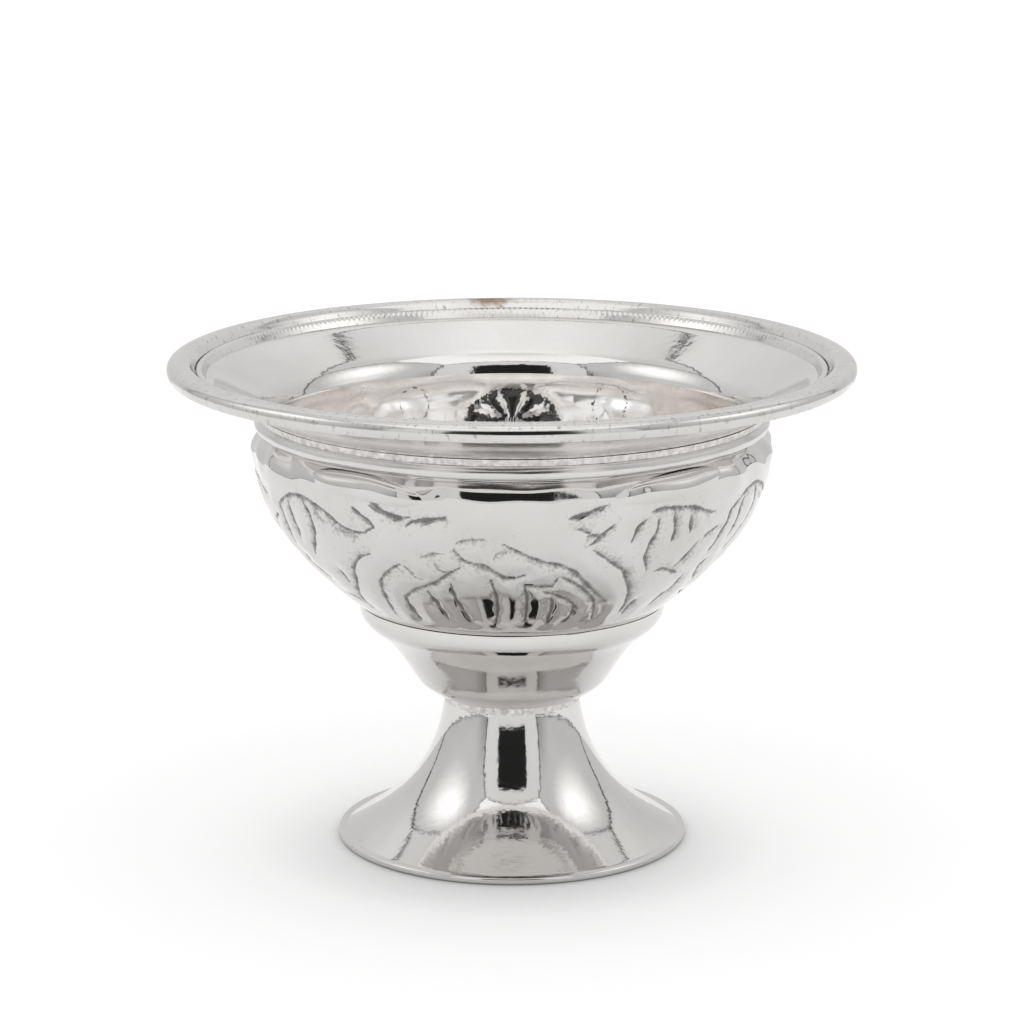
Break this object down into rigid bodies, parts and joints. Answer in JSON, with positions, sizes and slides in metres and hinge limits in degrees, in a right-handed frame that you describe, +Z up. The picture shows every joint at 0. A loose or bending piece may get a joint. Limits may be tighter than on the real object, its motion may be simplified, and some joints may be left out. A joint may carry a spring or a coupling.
{
  "type": "footed offering bowl",
  "caption": "Small silver offering bowl on a hollow trumpet foot, with a flared bordered rim, a chased belly and a plain lower cup, soldered from sheet and wire.",
  "frame": {"origin": "centre of the plane under the foot wire, where the bowl stands", "axes": "+Z up along the bowl's axis"},
  "size_m": [0.08, 0.08, 0.0578],
  "materials": {
    "polished_silver": "hand polished silver sheet",
    "chased_silver": "polished silver with grey tarnish in the chased recesses, pickled grey inside",
    "milled_silver": "milled silver wire with dark recesses",
    "silver_solder": "rough silver solder"
  },
  "bodies": {
    "root": {"foot_wire": "polished_silver", "pedestal_foot": "polished_silver", "stem_solder": "silver_solder", "lower_cup": "polished_silver", "chased_bowl": "chased_silver", "neck_ring": "polished_silver", "neck_solder": "silver_solder", "flared_rim": "polished_silver", "bead_wire": "milled_silver", "rim_border": "milled_silver"}
  },
  "joints": []
}
